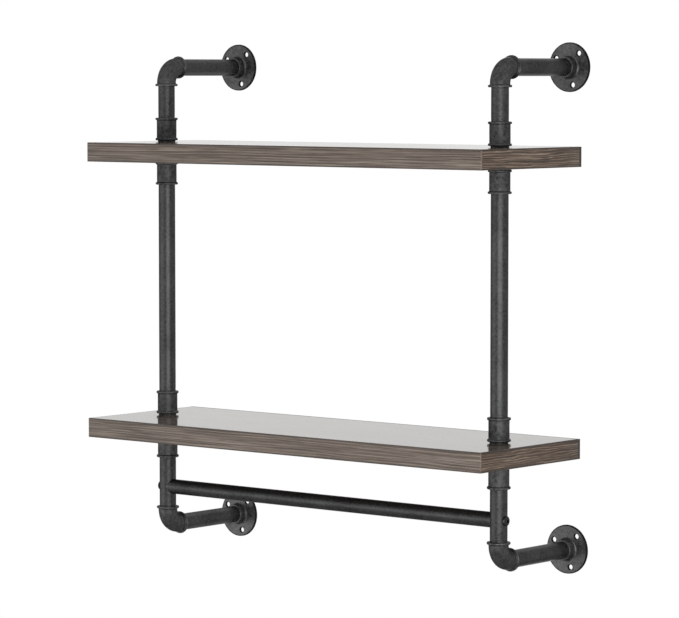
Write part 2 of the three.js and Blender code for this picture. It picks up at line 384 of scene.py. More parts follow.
pipeFinish = {
    "name": "satin black pipe coating",
    "dark": (0.022, 0.0223, 0.0228, 1.0),
    "light": (0.064, 0.0645, 0.0655, 1.0),
    "wornAndHighlight": (0.12, 0.12, 0.12, 1.0),
    "metallic": 0.8,
    "specular": 0.3,
    "roughness": (0.3, 0.4),
    "edgeTint": (0.42, 0.42, 0.42, 1.0),
    "mottleScale": 330.0,
    "grainScale": 1100.0,
    "cloudScale": 26.0,
    "bumpDepth": 0.00005,
    "wearAndHighlight": 0.35,
    "paintedRecessReach": 0.002,
    "paintedRecessShade": 0.15,
}

castingFinish = {
    "name": "satin black casting coating",
    "dark": (0.018, 0.0183, 0.0188, 1.0),
    "light": (0.098, 0.0985, 0.0995, 1.0),
    "wornAndHighlight": (0.2, 0.2, 0.2, 1.0),
    "metallic": 0.75,
    "specular": 0.3,
    "roughness": (0.4, 0.56),
    "edgeTint": (0.33, 0.33, 0.33, 1.0),
    "mottleScale": 260.0,
    "grainScale": 820.0,
    "cloudScale": 34.0,
    "bumpDepth": 0.00014,
    "wearAndHighlight": 0.3,
    "paintedRecessReach": 0.002,
    "paintedRecessShade": 0.3,
}

screwFinish = {
    "name": "black oxide screw",
    "dark": (0.017, 0.017, 0.018, 1.0),
    "light": (0.034, 0.034, 0.035, 1.0),
    "wornAndHighlight": (0.11, 0.11, 0.11, 1.0),
    "metallic": 0.95,
    "specular": 0.5,
    "roughness": (0.24, 0.36),
    "edgeTint": (0.6, 0.6, 0.6, 1.0),
    "mottleScale": 600.0,
    "grainScale": 2000.0,
    "cloudScale": 80.0,
    "bumpDepth": 0.00002,
    "wearAndHighlight": 0.4,
    "paintedRecessReach": 0.001,
    "paintedRecessShade": 0.5,
}


def makeBlackFinish(look, paintedShadeOf=None):
    # paintedShadeOf gives the share of black, painted shade, that a piece adds by itself
    material, tree, shader = newMaterial(look["name"])
    place = shiftedCoordinates(tree)
    mottle = noiseOf(tree, place, look["mottleScale"], *coating["mottleNoise"])
    grain = noiseOf(tree, place, look["grainScale"], *coating["grainNoise"])
    cloud = noiseOf(tree, place, look["cloudScale"], *coating["cloudNoise"])
    surface = sumOfShares(tree, (mottle, coating["mottleShare"]), (grain, coating["grainShare"]))
    tone = sumOfShares(tree, (surface, coating["surfaceShare"]), (cloud, coating["cloudShare"]))
    colour = colourRamp(tree, tone, coating["tones"], (look["dark"], look["light"]))

    # coating rubbed thin on crests and rims, and lightened there as a painted highlight too
    pointiness = addNode(tree, "ShaderNodeNewGeometry").outputs["Pointiness"]
    crest = rangeOf(tree, pointiness, *coating["crests"], 0.0, look["wearAndHighlight"])
    patches = rangeOf(tree, mottle, *coating["wornAndHighlightMottle"], coating["wornAndHighlightLeast"], 1.0)
    wornAndHighlight = mathOf(tree, "MULTIPLY", crest, patches)
    colour = mixColour(tree, wornAndHighlight, colour, look["wornAndHighlight"])

    # painted shade: the base colour goes towards black in screw holes, hub mouths and the necks behind
    # beads, as far as they are closed in
    occlusion = addNode(tree, "ShaderNodeAmbientOcclusion", {"Distance": look["paintedRecessReach"]},
                        samples=coating["opennessSamples"], only_local=True)
    recess = rangeOf(tree, occlusion.outputs["AO"], *coating["openness"], look["paintedRecessShade"], 0.0)
    colour = mixColour(tree, recess, colour, coating["black"])
    if paintedShadeOf:
        colour = mixColour(tree, paintedShadeOf(tree), colour, coating["black"])
    tree.links.new(colour, shader.inputs["Base Color"])

    roughness = rangeOf(tree, surface, *coating["sheens"], *look["roughness"])
    tree.links.new(roughness, shader.inputs["Roughness"])
    addBump(tree, shader, surface, look["bumpDepth"])
    shader.inputs["Metallic"].default_value = look["metallic"]
    shader.inputs["Specular IOR Level"].default_value = look["specular"]
    shader.inputs["Specular Tint"].default_value = look["edgeTint"]
    return material


# Zinc plugs and raw board core, which only show when the unit is taken apart

plugFinish = {
    "name": "zinc plate",
    "dark": (0.48, 0.49, 0.5, 1.0),
    "light": (0.68, 0.69, 0.7, 1.0),
    "metallic": 1.0,
    "roughness": (0.28, 0.45),
    "spangleScale": 240.0,
    "spangleNoise": (3.0, 0.6),  # detail and roughness
    "tones": (0.35, 0.65),
    "sheens": (0.3, 0.7),
    "bumpDepth": 0.00002,
}

coreFinish = {
    "name": "pressed chip core",
    "dark": srgb(118, 92, 62),
    "mid": srgb(171, 140, 101),
    "light": srgb(205, 178, 138),
    "tones": (0.2, 0.5, 0.85),  # where the colour is dark, mid and light
    "chipScale": 420.0,
    "chipShare": 0.6,
    "dustScale": 1500.0,
    "dustNoise": (3.0, 0.6),  # detail and roughness
    "dustShare": 0.4,
    "roughness": 0.9,
    "bumpDepth": 0.0002,
}


def makeZinc():
    look = plugFinish
    material, tree, shader = newMaterial(look["name"])
    spangle = noiseOf(tree, shiftedCoordinates(tree), look["spangleScale"], *look["spangleNoise"])
    colour = colourRamp(tree, spangle, look["tones"], (look["dark"], look["light"]))
    tree.links.new(colour, shader.inputs["Base Color"])
    roughness = rangeOf(tree, spangle, *look["sheens"], *look["roughness"])
    tree.links.new(roughness, shader.inputs["Roughness"])
    addBump(tree, shader, spangle, look["bumpDepth"])
    shader.inputs["Metallic"].default_value = look["metallic"]
    return material


def makeCore():
    look = coreFinish
    material, tree, shader = newMaterial(look["name"])
    place = shiftedCoordinates(tree)
    inputs = {"Vector": place, "Scale": look["chipScale"]}
    chips = addNode(tree, "ShaderNodeTexVoronoi", inputs).outputs["Color"]
    chipTone = addNode(tree, "ShaderNodeSeparateColor", {"Color": chips}).outputs["Red"]
    dust = noiseOf(tree, place, look["dustScale"], *look["dustNoise"])
    tone = sumOfShares(tree, (chipTone, look["chipShare"]), (dust, look["dustShare"]))
    colour = colourRamp(tree, tone, look["tones"], (look["dark"], look["mid"], look["light"]))
    tree.links.new(colour, shader.inputs["Base Color"])
    addBump(tree, shader, tone, look["bumpDepth"])
    shader.inputs["Roughness"].default_value = look["roughness"]
    return material


# Wood decors: first what they share, then each one's own values.
# The grain runs along X on fronts, backs and tops, and along Y on the ends.

wood = {
    "swirlDetail": 2.0,
    "broadNoise": (3.0, 0.5),  # detail and roughness
    "streakNoise": (4.0, 0.6),
    "poreNoise": (2.0, 0.5),
    "ringWander": 2,  # growth lines by which the broad noise can push one aside
    "ringTones": (0.38, 0.72),
    "toneSpread": 0.17,  # either side of the middle, at a contrast of 1
    "tones": (0.05, 0.32, 0.55, 0.95),  # where the colour is deep, dark, mid and light
    "poreRange": (0.3, 0.42),
    "paintedHighlightFull": 0.5,  # share of the highlighted end where the painted highlight is at full strength
    "patchRange": (0.4, 0.62),
    "patchShare": (0.05, 0.6),
    "stainRange": (0.415, 0.445),  # share of the height from the middle, where it begins and is full
}

frontDecor = {
    "name": "grey oak edging front",
    "grainAlong": "X",
    "deep": srgb(56, 47, 41),
    "dark": srgb(86, 74, 66),
    "mid": srgb(106, 94, 85),
    "light": srgb(142, 129, 118),
    "ringScale": 320.0,  # growth lines per metre across the grain
    "ringSharpness": 3.0,
    "ringShare": 0.2,
    "streakScale": (8.0, 1100.0),  # per metre, along and across the grain
    "streakShare": 0.64,
    "broadScale": (6.0, 190.0),
    "broadShare": 0.16,
    "poreScale": (40.0, 1500.0),
    "swirlScale": (9.0, 60.0),
    "swirl": 0.003,
    "contrast": 1.25,
    "poreDepth": 0.5,
    "specular": 0.35,
    "roughness": (0.42, 0.54),
    "bumpDepth": 0.00006,
    "edgeStain": 0.8,
    "paintedEndHighlight": 0.0016,  # share of the length, at the far end, where the corner gets a painted highlight
}

endDecor = {
    **frontDecor,
    "name": "grey oak edging end",
    "grainAlong": "Y",
    "deep": srgb(42, 31, 24),
    "dark": srgb(65, 50, 39),
    "mid": srgb(86, 69, 56),
    "light": srgb(140, 122, 105),
    "ringScale": 360.0,
    "ringShare": 0.34,
    "streakScale": (13.0, 900.0),
    "streakShare": 0.46,
    "broadScale": (9.0, 170.0),
    "broadShare": 0.2,
    "swirlScale": (14.0, 60.0),
    "swirl": 0.006,
    "contrast": 1.4,
    "edgeStain": 0.9,
    "paintedEndHighlight": 0.006,
}

# the back edging is much darker all over than the front and the ends
backDecor = {
    **frontDecor,
    "name": "dark oak edging back",
    "deep": srgb(32, 27, 23),
    "dark": srgb(42, 36, 31),
    "mid": srgb(52, 45, 40),
    "light": srgb(70, 62, 55),
    "paintedEndHighlight": 0.0,
}

topDecor = {
    **frontDecor,
    "name": "glossy oak laminate",
    "deep": srgb(64, 54, 47),
    "dark": srgb(90, 78, 68),
    "mid": srgb(109, 95, 84),
    "light": srgb(132, 118, 106),
    "ringScale": 60.0,
    "streakScale": (10.0, 300.0),
    "broadScale": (4.0, 40.0),
    "swirlScale": (4.0, 14.0),
    "swirl": 0.03,
    "contrast": 1.0,
    "specular": 0.5,
    "roughness": (0.1, 0.13),
    "bumpDepth": 0.000003,
    "edgeStain": 0.0,
    "paintedEndHighlight": 0.0,
}

undersideDecor = {
    **topDecor,
    "name": "satin oak backing sheet",
    "roughness": (0.42, 0.55),
    "bumpDepth": 0.00004,
}


def makeDecor(look):
    material, tree, shader = newMaterial(look["name"])
    coordinates = addNode(tree, "ShaderNodeTexCoord")
    place = coordinates.outputs["Object"]
    alongX = look["grainAlong"] == "X"

    def stretched(vector, scales):
        along, across = scales
        scale = (along, across, across) if alongX else (across, along, across)
        inputs = {"Vector": vector, "Scale": scale}
        return addNode(tree, "ShaderNodeMapping", inputs).outputs["Vector"]

    # the grain wanders and forks instead of running dead straight
    swirl = addNode(tree, "ShaderNodeTexNoise", {
        "Vector": stretched(place, look["swirlScale"]),
        "Scale": 1.0,
        "Detail": wood["swirlDetail"],
    }).outputs["Color"]
    centred = addNode(tree, "ShaderNodeVectorMath", {0: swirl, 1: (0.5, 0.5, 0.5)}, operation="SUBTRACT")
    pushed = addNode(tree, "ShaderNodeVectorMath", {0: centred.outputs["Vector"]}, operation="SCALE")
    pushed.inputs["Scale"].default_value = look["swirl"]
    inputs = {0: place, 1: pushed.outputs["Vector"]}
    grainPlace = addNode(tree, "ShaderNodeVectorMath", inputs, operation="ADD").outputs["Vector"]

    broad = noiseOf(tree, stretched(grainPlace, look["broadScale"]), 1.0, *wood["broadNoise"])
    streak = noiseOf(tree, stretched(grainPlace, look["streakScale"]), 1.0, *wood["streakNoise"])
    pores = noiseOf(tree, stretched(grainPlace, look["poreScale"]), 1.0, *wood["poreNoise"])

    # growth lines, pushed out of step by the broad noise so that they bunch and spread
    across = addNode(tree, "ShaderNodeSeparateXYZ", {"Vector": grainPlace}).outputs
    sideways = mathOf(tree, "ADD", across["Z"], across["Y" if alongX else "X"])
    phase = mathOf(tree, "MULTIPLY", sideways, look["ringScale"] * fullTurn)
    phase = mathOf(tree, "ADD", phase, mathOf(tree, "MULTIPLY", broad, fullTurn * wood["ringWander"]))
    halfWave = mathOf(tree, "MULTIPLY", mathOf(tree, "SINE", phase), 0.5)
    rings = mathOf(tree, "POWER", mathOf(tree, "ADD", halfWave, 0.5), look["ringSharpness"])
    rings = rangeOf(tree, rings, 0.0, 1.0, *wood["ringTones"])

    shares = [(broad, look["broadShare"]), (streak, look["streakShare"]), (rings, look["ringShare"])]
    grain = sumOfShares(tree, *shares)
    spread = wood["toneSpread"] / look["contrast"]
    tone = rangeOf(tree, grain, 0.5 - spread, 0.5 + spread, 0.0, 1.0)
    colours = (look["deep"], look["dark"], look["mid"], look["light"])
    colour = colourRamp(tree, tone, wood["tones"], colours)
    poreShare = rangeOf(tree, pores, *wood["poreRange"], look["poreDepth"], 0.0)
    colour = mixColour(tree, poreShare, colour, look["deep"])

    share = addNode(tree, "ShaderNodeSeparateXYZ", {"Vector": coordinates.outputs["Generated"]}).outputs
    # a painted highlight along the corner at the far end of the grain, broken up by the pores
    if look["paintedEndHighlight"]:
        along = share[look["grainAlong"]]
        full = 1 - look["paintedEndHighlight"] * wood["paintedHighlightFull"]
        endHighlight = rangeOf(tree, along, 1 - look["paintedEndHighlight"], full, 0.0, 1.0)
        patchy = rangeOf(tree, pores, *wood["patchRange"], *wood["patchShare"])
        colour = mixColour(tree, mathOf(tree, "MULTIPLY", endHighlight, patchy), colour, look["light"])
    if look["edgeStain"]:
        # a thin dark line where the edging meets the sheets above and below
        fromMiddle = mathOf(tree, "ABSOLUTE", mathOf(tree, "SUBTRACT", share["Z"], 0.5))
        stain = rangeOf(tree, fromMiddle, *wood["stainRange"], 0.0, look["edgeStain"])
        colour = mixColour(tree, stain, colour, look["deep"])
    tree.links.new(colour, shader.inputs["Base Color"])
    shader.inputs["Specular IOR Level"].default_value = look["specular"]

    smooth, rough = look["roughness"]
    tree.links.new(rangeOf(tree, tone, 0.0, 1.0, rough, smooth), shader.inputs["Roughness"])
    addBump(tree, shader, mathOf(tree, "SUBTRACT", tone, poreShare), look["bumpDepth"])
    return material


blackPipe = makeBlackFinish(pipeFinish)
blackCasting = makeBlackFinish(castingFinish)
blackScrew = makeBlackFinish(screwFinish)
zincPlate = makeZinc()
chipCore = makeCore()
frontEdging = makeDecor(frontDecor)
endEdging = makeDecor(endDecor)
backEdging = makeDecor(backDecor)
glossTop = makeDecor(topDecor)
backingSheet = makeDecor(undersideDecor)
print("finishes made")


# Pipes, with faint thread grooves that run out past the fittings

pipe = {
    "radius": 0.0103,
    "bore": 0.0079,
    "threadRadius": 0.0098,
    "threadLength": 0.011,
    "threadDepth": 0.00045,
    "threadPitch": 0.0018,
    "runoutLength": 0.0065,
    "runoutDepth": 0.00016,
    "fineStep": 0.0003,
    "coarseStep": 0.012,
    "around": 72,
}


def grooveAt(height, turn):
    # 0 on the thread's crest and 1 in its groove, along one helix
    phase = height / pipe["threadPitch"] - turn / fullTurn
    return 0.5 - 0.5 * math.cos(fullTurn * phase)


def pipeRing(height, bodyLength, full):
    ring = []
    fromEnd = min(height, bodyLength - height)
    for step in range(pipe["around"]):
        turn = fullTurn * step / pipe["around"]
        if full:
            fade = max(0.0, 1 - fromEnd / pipe["runoutLength"])
            radius = pipe["radius"] - pipe["runoutDepth"] * fade * grooveAt(height, turn)
        else:
            radius = pipe["threadRadius"] - pipe["threadDepth"] * grooveAt(height, turn)
        ring.append(Vector((radius * math.cos(turn), radius * math.sin(turn), height)))
    return ring


def evenSteps(start, stop, longest):
    count = max(1, math.ceil(abs(stop - start) / longest))
    return [start + (stop - start) * step / count for step in range(count + 1)]


def pipeMesh(name, bodyLength):
    reach = pipe["threadLength"]
    runout = pipe["runoutLength"]
    fine = pipe["fineStep"]
    rings = [pipeRing(height, bodyLength, False) for height in evenSteps(-reach, 0, fine)]
    body = evenSteps(0, runout, fine)
    body += evenSteps(runout, bodyLength - runout, pipe["coarseStep"])[1:-1]
    body += evenSteps(bodyLength - runout, bodyLength, fine)
    rings += [pipeRing(height, bodyLength, True) for height in body]
    farThread = evenSteps(bodyLength, bodyLength + reach, fine)
    rings += [pipeRing(height, bodyLength, False) for height in farThread]
    for height in evenSteps(bodyLength + reach, -reach, pipe["coarseStep"]):
        rings.append(ringAt(straightSpine, height, pipe["bore"], pipe["around"]))
    return loftMesh(name, rings)


def bodyLengthOf(node, axis):
    low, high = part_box(node)
    return high[axis] - low[axis] - 2 * pipe["threadLength"]


def makePostPipes():
    for side in sides:
        for level in ("upper", "middle", "lower"):
            node = f"{side}_{level}_post_pipe"
            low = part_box(node)[0]
            centre = middleOf(node)
            mesh = pipeMesh(node, bodyLengthOf(node, 2))
            bottom = low.z + pipe["threadLength"]
            if level == "lower":
                mesh = drillForScrew(mesh, middleOf("towel_bar").z - bottom)
            matrix = Matrix.Translation((centre.x, centre.y, bottom))
            dress(f"{node}_tube", mesh, matrix, blackPipe, node)


def drillForScrew(mesh, height):
    reach = pipe["radius"] * 2
    radius = barScrew["shankRadius"] + barScrew["shankClearance"]
    drill = barMesh("drill", radius, -reach, reach, barScrew["drillAround"])
    drill.transform(Matrix.Translation((0, 0, height)) @ Matrix.Rotation(quarterTurn, 4, "Y"))
    return cutAway(mesh, [drill])


def makeArms():
    for side in sides:
        for level in levels:
            node = f"{side}_{level}_arm"
            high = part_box(node)[1]
            centre = middleOf(node)
            mesh = pipeMesh(node, bodyLengthOf(node, 1))
            wallEnd = Vector((centre.x, high.y - pipe["threadLength"], centre.z))
            matrix = Matrix.Translation(wallEnd) @ Matrix.Rotation(quarterTurn, 4, "X")
            dress(f"{node}_tube", mesh, matrix, blackPipe, node)


# Couplings

coupling = {
    "bore": 0.0101,
    "lipRadius": 0.011,
    "lipLength": 0.0017,
    "barrelRadius": 0.0123,
    "beadRadius": 0.0139,
    "beadThickness": 0.003,
    "beadRound": 0.0011,
    "neckRound": 0.0004,
    "mouthRound": 0.0003,
    "around": 88,
    "step": 0.0014,
    "relief": {"depth": 0.00013, "patch": 0.0045},
}


def couplingMesh(length):
    size = coupling
    bead = size["beadThickness"]
    foot = size["lipLength"]
    return turnedMesh("coupling", [
        (size["bore"], 0, 0),
        (size["lipRadius"], 0, size["mouthRound"]),
        (size["lipRadius"], foot, size["neckRound"]),
        (size["beadRadius"], foot, size["beadRound"]),
        (size["beadRadius"], foot + bead, size["beadRound"]),
        (size["barrelRadius"], foot + bead, size["neckRound"]),
        (size["barrelRadius"], length - bead, size["neckRound"]),
        (size["beadRadius"], length - bead, size["beadRound"]),
        (size["beadRadius"], length, size["beadRound"]),
        (size["bore"], length, size["mouthRound"]),
    ], size["around"], size["step"])


def makeCouplings():
    low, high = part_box("left_upper_board_top_coupling")
    mesh = couplingMesh(high.z - low.z)
    for side in sides:
        for level in levels:
            for face in ("top", "bottom"):
                node = f"{side}_{level}_board_{face}_coupling"
                low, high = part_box(node)
                centre = middleOf(node)
                onBoard = low.z if face == "top" else high.z
                matrix = Matrix.Translation((centre.x, centre.y, onBoard))
                if face == "bottom":
                    matrix = matrix @ Matrix.Rotation(math.pi, 4, "X")
                skin = roughened(mesh, coupling["relief"], centre)
                dress(f"{node}_casting", skin, matrix, blackCasting, node)


# Elbows

elbow = {
    "tubeRadius": 0.0118,
    "bendRadius": 0.019,
    "cornerToFace": 0.0232,
    "passage": 0.0082,
    "bore": 0.0101,
    "boreDepth": 0.0116,
    "beadRadius": 0.0139,
    "beadThickness": 0.003,
    "beadRound": 0.001,
    "neckRound": 0.001,
    "around": 88,
    "step": 0.0013,
    "relief": {"depth": 0.00014, "patch": 0.005},
}

elbowFinish = {
    **castingFinish,
    "name": "satin black elbow coating",
    "dark": (0.025, 0.0253, 0.0258, 1.0),
    "light": (0.086, 0.0865, 0.0875, 1.0),
    "roughness": (0.28, 0.42),
}


def elbowLengths():
    # one straight leg, and the whole way along the middle
    leg = elbow["cornerToFace"] - elbow["bendRadius"]
    return leg, 2 * leg + elbow["bendRadius"] * quarterTurn


def elbowSpine(distance):
    # from the post's mouth up, round the bend, to the arm's mouth behind
    leg = elbowLengths()[0]
    bend = elbow["bendRadius"]
    across = Vector((1, 0, 0))
    if distance <= leg:
        return Vector((0, 0, distance - elbow["cornerToFace"])), across, Vector((0, 1, 0))
    angle = min(quarterTurn, (distance - leg) / bend)
    extra = max(0.0, distance - leg - bend * quarterTurn)
    centre = Vector((0, bend * (1 - math.cos(angle)) + extra, -bend * (1 - math.sin(angle))))
    return centre, across, Vector((0, math.cos(angle), -math.sin(angle)))


def elbowOutside():
    size = elbow
    total = elbowLengths()[1]
    bead = size["beadThickness"]
    corners = [
        (0, 0, 0),
        (size["beadRadius"], 0, size["beadRound"]),
        (size["beadRadius"], bead, size["beadRound"]),
        (size["tubeRadius"], bead, size["neckRound"]),
        (size["tubeRadius"], total - bead, size["neckRound"]),
        (size["beadRadius"], total - bead, size["beadRound"]),
        (size["beadRadius"], total, size["beadRound"]),
        (0, total, 0),
    ]
    outline = closeSpaced(roundedOutline(corners), size["step"])
    rings = [
        ringAt(elbowSpine, height, radius, size["around"])
        for radius, height in outline
        if radius > size["passage"]
    ]
    return loftMesh("elbow", rings, capped=True)


def elbowBores():
    size = elbow
    leg, total = elbowLengths()
    overrun = size["beadThickness"]
    bore = barMesh("bore", size["bore"], -size["cornerToFace"] - overrun,
                   size["boreDepth"] - size["cornerToFace"], size["around"])
    armBore = bore.copy()
    armBore.transform(Matrix.Rotation(quarterTurn, 4, "X"))
    bendSteps = evenSteps(leg, total - leg, size["step"])
    passage = [ringAt(elbowSpine, height, size["passage"], size["around"]) for height in bendSteps]
    return [bore, armBore, loftMesh("passage", passage, capped=True)]


def makeElbows():
    finish = makeBlackFinish(elbowFinish)
    outside = elbowOutside()
    bores = elbowBores()
    for side in sides:
        for level in levels:
            node = f"{side}_{level}_elbow"
            post = middleOf(f"{side}_{level}_post_pipe")
            arm = middleOf(f"{side}_{level}_arm")
            matrix = Matrix.Translation((post.x, post.y, arm.z))
            if level == "lower":
                matrix = matrix @ Matrix.Rotation(math.pi, 4, "Y")
            casting = cutAway(roughened(outside, elbow["relief"], middleOf(node)), bores)
            dress(f"{node}_casting", casting, matrix, finish, node)


# Wall flanges

flange = {
    "radius": 0.0292,
    "thickness": 0.0028,
    "rimRound": 0.0009,
    "backRound": 0.0002,
    "hubBase": 0.0129,
    "hubMouth": 0.0122,
    "hubHeight": 0.013,
    "hubFillet": 0.0022,
    "hubChamfer": 0.0007,
    "bore": 0.0101,
    "holeRadius": 0.003,
    "sinkDepth": 0.0008,
    "around": 120,
    "holeAround": 48,
    "step": 0.0012,
    "relief": {"depth": 0.00018, "patch": 0.0042},
}


def screwHolePlaces(node):
    # hole centres on the face, from the middle of the flange: to the right and up
    centre = middleOf(node)
    places = []
    for opening in frame["record"]["physics"]["openings"]:
        if opening["name"].startswith(f"{node}_") and opening["name"].endswith("screw_hole"):
            low, high = opening["box_m"]
            places.append(((low[0] + high[0]) / 2 - centre.x, (low[2] + high[2]) / 2 - centre.z))
    return places


def flangePlate():
    size = flange
    return turnedMesh("flange", [
        (size["bore"], 0, 0),
        (size["radius"], 0, size["backRound"]),
        (size["radius"], size["thickness"], size["rimRound"]),
        (size["hubBase"], size["thickness"], size["hubFillet"]),
        (size["hubMouth"], size["hubHeight"], size["hubChamfer"]),
        (size["bore"], size["hubHeight"], size["backRound"]),
    ], size["around"], size["step"])


def screwHoleCutters():
    radius = flange["holeRadius"]
    face = flange["thickness"]
    sink = flange["sinkDepth"]
    around = flange["holeAround"]
    overrun = face  # past both faces, for a clean cut
    cutters = []
    for right, up in screwHolePlaces("left_upper_flange"):
        drill = barMesh("drill", radius, -overrun, face + overrun, around)
        cone = barMesh("cone", radius, face - sink, face + overrun, around, radius + sink + overrun)
        for cutter in (drill, cone):
            cutter.transform(Matrix.Translation((right, up, 0)))
            cutters.append(cutter)
    return cutters


flangeFinish = {
    **castingFinish,
    "name": "satin black flange coating",
    "dark": (0.034, 0.0344, 0.035, 1.0),
    "light": (0.12, 0.1205, 0.1215, 1.0),
    "roughness": (0.34, 0.5),
    "paintedLineShade": 0.9,
    "paintedRimLine": (0.0018, 0.0008),  # inwards from the rim, where the painted shade line begins and is full
    "paintedHoleLine": (0.0004, 0.0013),  # outwards from a hole, where the painted shade is full and ends
}


def flangePaintedShade(tree):
    # painted shade: a dark line along the rim and round the screw holes
    radius = flange["radius"]
    hole = flange["holeRadius"]
    line = flangeFinish["paintedLineShade"]
    share = addNode(tree, "ShaderNodeTexCoord").outputs["Generated"]
    inputs = {0: share, 1: (1.0, 0.0, 1.0)}
    face = addNode(tree, "ShaderNodeVectorMath", inputs, operation="MULTIPLY").outputs["Vector"]

    def distanceFrom(right, up):
        inputs = {0: face, 1: (0.5 + right / radius / 2, 0.0, 0.5 + up / radius / 2)}
        share = addNode(tree, "ShaderNodeVectorMath", inputs, operation="DISTANCE").outputs["Value"]
        return mathOf(tree, "MULTIPLY", share, radius * 2)

    begins, full = flangeFinish["paintedRimLine"]
    shade = rangeOf(tree, distanceFrom(0, 0), radius - begins, radius - full, 0.0, line)
    full, ends = flangeFinish["paintedHoleLine"]
    for right, up in screwHolePlaces("left_upper_flange"):
        ring = rangeOf(tree, distanceFrom(right, up), hole + full, hole + ends, line, 0.0)
        shade = mathOf(tree, "MAXIMUM", shade, ring)
    return shade


def makeFlanges():
    finish = makeBlackFinish(flangeFinish, flangePaintedShade)
    plate = flangePlate()
    cutters = screwHoleCutters()
    for side in sides:
        for level in levels:
            node = f"{side}_{level}_flange"
            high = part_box(node)[1]
            centre = middleOf(node)
            onWall = Matrix.Translation((centre.x, high.y, centre.z))
            matrix = onWall @ Matrix.Rotation(quarterTurn, 4, "X")
            skin = roughened(plate, flange["relief"], centre, flatUpTo=flange["backRound"])
            dress(f"{node}_casting", cutAway(skin, cutters), matrix, finish, node)


# Towel bar, coped to fit round the posts, and the screws that hold it

towelBar = {
    "radius": 0.00915,
    "wall": 0.0012,
    "endGap": 0.0003,
    "around": 72,
    "step": 0.015,
    "endStep": 0.0015,
    "endLength": 0.012,
}

barScrew = {
    "headRadius": 0.006,
    "headHeight": 0.0029,
    "rimHeight": 0.0007,
    "shankRadius": 0.0029,
    "shankClearance": 0.0003,
    "drillAround": 40,
    "socketRadius": 0.0023,
    "socketDepth": 0.0015,
    "socketTaper": 0.94,  # its floor against its mouth
    "socketRim": 1.08,  # where the dome starts, against its mouth
    "around": 60,
    "domeSteps": 9,
}


def towelBarMesh(halfSpan):
    hollow = pipe["radius"] + towelBar["endGap"]

    def barRing(radius, share):
        # share runs from -1 at the left cope to 1 at the right one
        ring = []
        for step in range(towelBar["around"]):
            turn = fullTurn * step / towelBar["around"]
            depth = radius * math.cos(turn)
            end = halfSpan - math.sqrt(hollow ** 2 - depth ** 2)
            ring.append(Vector((end * share, depth, radius * math.sin(turn))))
        return ring

    endShare = towelBar["endLength"] / halfSpan
    shares = evenSteps(-1, endShare - 1, towelBar["endStep"] / halfSpan)
    shares += evenSteps(endShare - 1, 1 - endShare, towelBar["step"] / halfSpan)[1:-1]
    shares += evenSteps(1 - endShare, 1, towelBar["endStep"] / halfSpan)
    inside = towelBar["radius"] - towelBar["wall"]
    rings = [barRing(towelBar["radius"], share) for share in shares]
    rings += [barRing(inside, share) for share in reversed(shares)]
    return loftMesh("towel_bar", rings)


def makeTowelBar():
    centre = middleOf("towel_bar")
    post = middleOf("right_lower_post_pipe")
    matrix = Matrix.Translation((0, centre.y, centre.z))
    dress("towel_bar_tube", towelBarMesh(post.x), matrix, blackPipe, "towel_bar")


def screwMesh(length):
    # head below z = 0, shank above, a hexagon socket sunk into the dome
    size = barScrew
    around = size["around"]
    dome = size["headHeight"] - size["rimHeight"]

    def hexagonRing(height, radius):
        ring = []
        for step in range(around):
            turn = fullTurn * step / around
            flat = math.cos(math.pi / 6) / math.cos(turn % (math.pi / 3) - math.pi / 6)
            ring.append(Vector((radius * flat * math.cos(turn), radius * flat * math.sin(turn), height)))
        return ring

    def domeHeight(radius):
        return -size["rimHeight"] - dome * math.sqrt(max(0.0, 1 - (radius / size["headRadius"]) ** 2))

    socketTop = domeHeight(size["socketRadius"])
    floor = size["socketDepth"] - size["headHeight"]
    rings = [hexagonRing(floor, size["socketRadius"] * size["socketTaper"])]
    rings.append(hexagonRing(socketTop, size["socketRadius"]))
    first = math.asin(size["socketRadius"] / size["headRadius"] * size["socketRim"])
    for step in range(size["domeSteps"] + 1):
        radius = size["headRadius"] * math.sin(first + (quarterTurn - first) * step / size["domeSteps"])
        rings.append(ringAt(straightSpine, domeHeight(radius), radius, around))
    rings.append(ringAt(straightSpine, 0, size["headRadius"], around))
    rings.append(ringAt(straightSpine, 0, size["shankRadius"], around))
    rings.append(ringAt(straightSpine, length, size["shankRadius"], around))
    return loftMesh("bar_screw", rings, capped=True)


def makeBarScrews():
    for side, inwards in (("left", 1), ("right", -1)):
        node = f"{side}_bar_screw"
        low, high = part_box(node)
        centre = middleOf(node)
        outerEnd = low.x if side == "left" else high.x
        seat = outerEnd + inwards * barScrew["headHeight"]
        mesh = screwMesh(high.x - low.x - barScrew["headHeight"])
        turn = Matrix.Rotation(inwards * quarterTurn, 4, "Y")
        matrix = Matrix.Translation((seat, centre.y, centre.z)) @ turn
        dress(f"{node}_turned", mesh, matrix, blackScrew, node)


# Boards: edging with softened arrises round the laminate sheets and the core

edging = {
    "arris": 0.0005,
    "arrisSteps": 3,
    "arrisProfile": 0.5,
    "sharpAngle": 60,
    "cell": 0.03,
    "relief": {"depth": 0.00005, "patch": 0.06},
}


